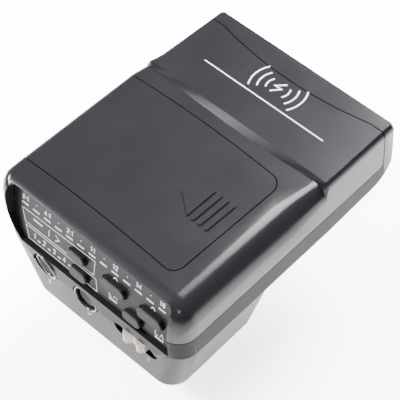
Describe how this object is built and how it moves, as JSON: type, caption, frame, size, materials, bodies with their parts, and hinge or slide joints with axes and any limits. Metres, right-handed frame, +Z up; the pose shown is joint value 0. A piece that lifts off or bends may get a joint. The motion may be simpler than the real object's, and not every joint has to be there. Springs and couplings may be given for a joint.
{
  "type": "wireless flash trigger",
  "caption": "Hot-shoe infrared flash trigger: flat case with a sliding battery cover, a rear button panel and a locking shoe foot below.",
  "frame": {"origin": "centre of the underside of the shoe foot, where it rests in a camera's hot shoe", "axes": "+Z up out of the shoe, -Y towards the subject (infrared window), +Y towards the user (control panel), +X to the user's left as they face the panel"},
  "size_m": [0.0635, 0.0798, 0.051],
  "materials": {
    "black_plastic": "fine satin texture",
    "panel_plastic": "satin, printed",
    "button_rubber": "matt",
    "infrared_window": "polished, near black",
    "clear_lens": "translucent",
    "cream_plastic": "satin",
    "steel": "plated",
    "gold_contact": "gold plated",
    "board": "solder mask",
    "battery": "satin",
    "reflector": "bright",
    "component": "satin",
    "copper": "varnished winding"
  },
  "bodies": {
    "case": {"upper_cover": "black_plastic", "lower_case": "black_plastic", "front_window": "infrared_window", "battery_tray": "black_plastic", "battery_pack": "battery", "battery_contact_plus": "gold_contact", "battery_contact_minus": "gold_contact", "control_panel": "panel_plastic", "panel_board": "board", "key_switch_1": "steel", "key_switch_2": "steel", "key_switch_3": "steel", "key_switch_4": "steel", "key_switch_5": "steel", "confirmation_lamp": "clear_lens", "slide_switch_body": "component", "shoe_foot": "steel", "shoe_base": "black_plastic", "base_screw_1": "steel", "base_screw_2": "steel", "case_screw_1": "steel", "case_screw_2": "steel", "case_screw_3": "steel", "case_screw_4": "steel", "flash_reflector": "reflector", "flash_tube": "clear_lens", "focus_lamp": "clear_lens", "main_capacitor": "component", "step_up_transformer": "copper", "trigger_coil": "component", "main_board": "board", "control_chip": "component", "contact_block": "component"},
    "hinge_carriage": {"cover_hinge": "steel"},
    "battery_cover": {"battery_cover": "black_plastic"},
    "ratio_button": {"ratio_button": "button_rubber"},
    "channel_button": {"channel_button": "button_rubber"},
    "ratio_down_button": {"ratio_down_button": "button_rubber"},
    "ratio_up_button": {"ratio_up_button": "button_rubber"},
    "sync_button": {"sync_button": "button_rubber"},
    "test_button": {"test_button": "clear_lens"},
    "power_switch": {"power_switch_knob": "cream_plastic"},
    "lock_ring": {"shoe_lock_ring": "black_plastic"},
    "lock_pin": {"shoe_lock_pin": "steel"},
    "centre_contact": {"centre_contact": "gold_contact"},
    "signal_contact_1": {"signal_contact_1": "gold_contact"},
    "signal_contact_2": {"signal_contact_2": "gold_contact"},
    "signal_contact_3": {"signal_contact_3": "gold_contact"},
    "signal_contact_4": {"signal_contact_4": "gold_contact"}
  },
  "joints": [
    {"name": "cover_slide", "type": "slide", "parent": "case", "child": "hinge_carriage", "axis": [1, 0, 0], "range_m": [0, 0.004]},
    {"name": "cover_hinge", "type": "hinge", "parent": "hinge_carriage", "child": "battery_cover", "pos_m": [0.03165, -0.0055, 0.0398], "axis": [0, 1, 0], "range_deg": [0, 100]},
    {"name": "ratio_button_press", "type": "slide", "parent": "case", "child": "ratio_button", "axis": [0, -0.977, -0.213], "range_m": [0, 0.0005], "stiffness_N_per_m": 1000, "springref_m": -0.0005},
    {"name": "channel_button_press", "type": "slide", "parent": "case", "child": "channel_button", "axis": [0, -0.977, -0.213], "range_m": [0, 0.0005], "stiffness_N_per_m": 1000, "springref_m": -0.0005},
    {"name": "ratio_down_button_press", "type": "slide", "parent": "case", "child": "ratio_down_button", "axis": [0, -0.977, -0.213], "range_m": [0, 0.0005], "stiffness_N_per_m": 1000, "springref_m": -0.0005},
    {"name": "ratio_up_button_press", "type": "slide", "parent": "case", "child": "ratio_up_button", "axis": [0, -0.977, -0.213], "range_m": [0, 0.0005], "stiffness_N_per_m": 1000, "springref_m": -0.0005},
    {"name": "sync_button_press", "type": "slide", "parent": "case", "child": "sync_button", "axis": [0, -0.977, -0.213], "range_m": [0, 0.0005], "stiffness_N_per_m": 1000, "springref_m": -0.0005},
    {"name": "test_button_press", "type": "slide", "parent": "case", "child": "test_button", "axis": [0, -1, 0], "range_m": [0, 0.0006], "stiffness_N_per_m": 1000, "springref_m": -0.0005},
    {"name": "power_switch_slide", "type": "slide", "parent": "case", "child": "power_switch", "axis": [-1, 0, 0], "range_m": [-0.0024, 0.0024]},
    {"name": "lock_ring_turn", "type": "hinge", "parent": "case", "child": "lock_ring", "pos_m": [0, 0, 0.00725], "axis": [0, 0, 1], "range_deg": [0, 60]},
    {"name": "lock_pin_drop", "type": "slide", "parent": "case", "child": "lock_pin", "axis": [0, 0, -1], "range_m": [0, 0.0012]},
    {"name": "centre_contact_spring", "type": "slide", "parent": "case", "child": "centre_contact", "axis": [0, 0, -1], "range_m": [0, 0.0006], "stiffness_N_per_m": 300, "springref_m": -0.0005},
    {"name": "signal_contact_1_spring", "type": "slide", "parent": "case", "child": "signal_contact_1", "axis": [0, 0, -1], "range_m": [0, 0.0006], "stiffness_N_per_m": 300, "springref_m": -0.0005},
    {"name": "signal_contact_2_spring", "type": "slide", "parent": "case", "child": "signal_contact_2", "axis": [0, 0, -1], "range_m": [0, 0.0006], "stiffness_N_per_m": 300, "springref_m": -0.0005},
    {"name": "signal_contact_3_spring", "type": "slide", "parent": "case", "child": "signal_contact_3", "axis": [0, 0, -1], "range_m": [0, 0.0006], "stiffness_N_per_m": 300, "springref_m": -0.0005},
    {"name": "signal_contact_4_spring", "type": "slide", "parent": "case", "child": "signal_contact_4", "axis": [0, 0, -1], "range_m": [0, 0.0006], "stiffness_N_per_m": 300, "springref_m": -0.0005}
  ],
  "couplings": [
    {"joint": "lock_pin_drop", "follows": "lock_ring_turn", "m_per_rad": 0.00105}
  ]
}
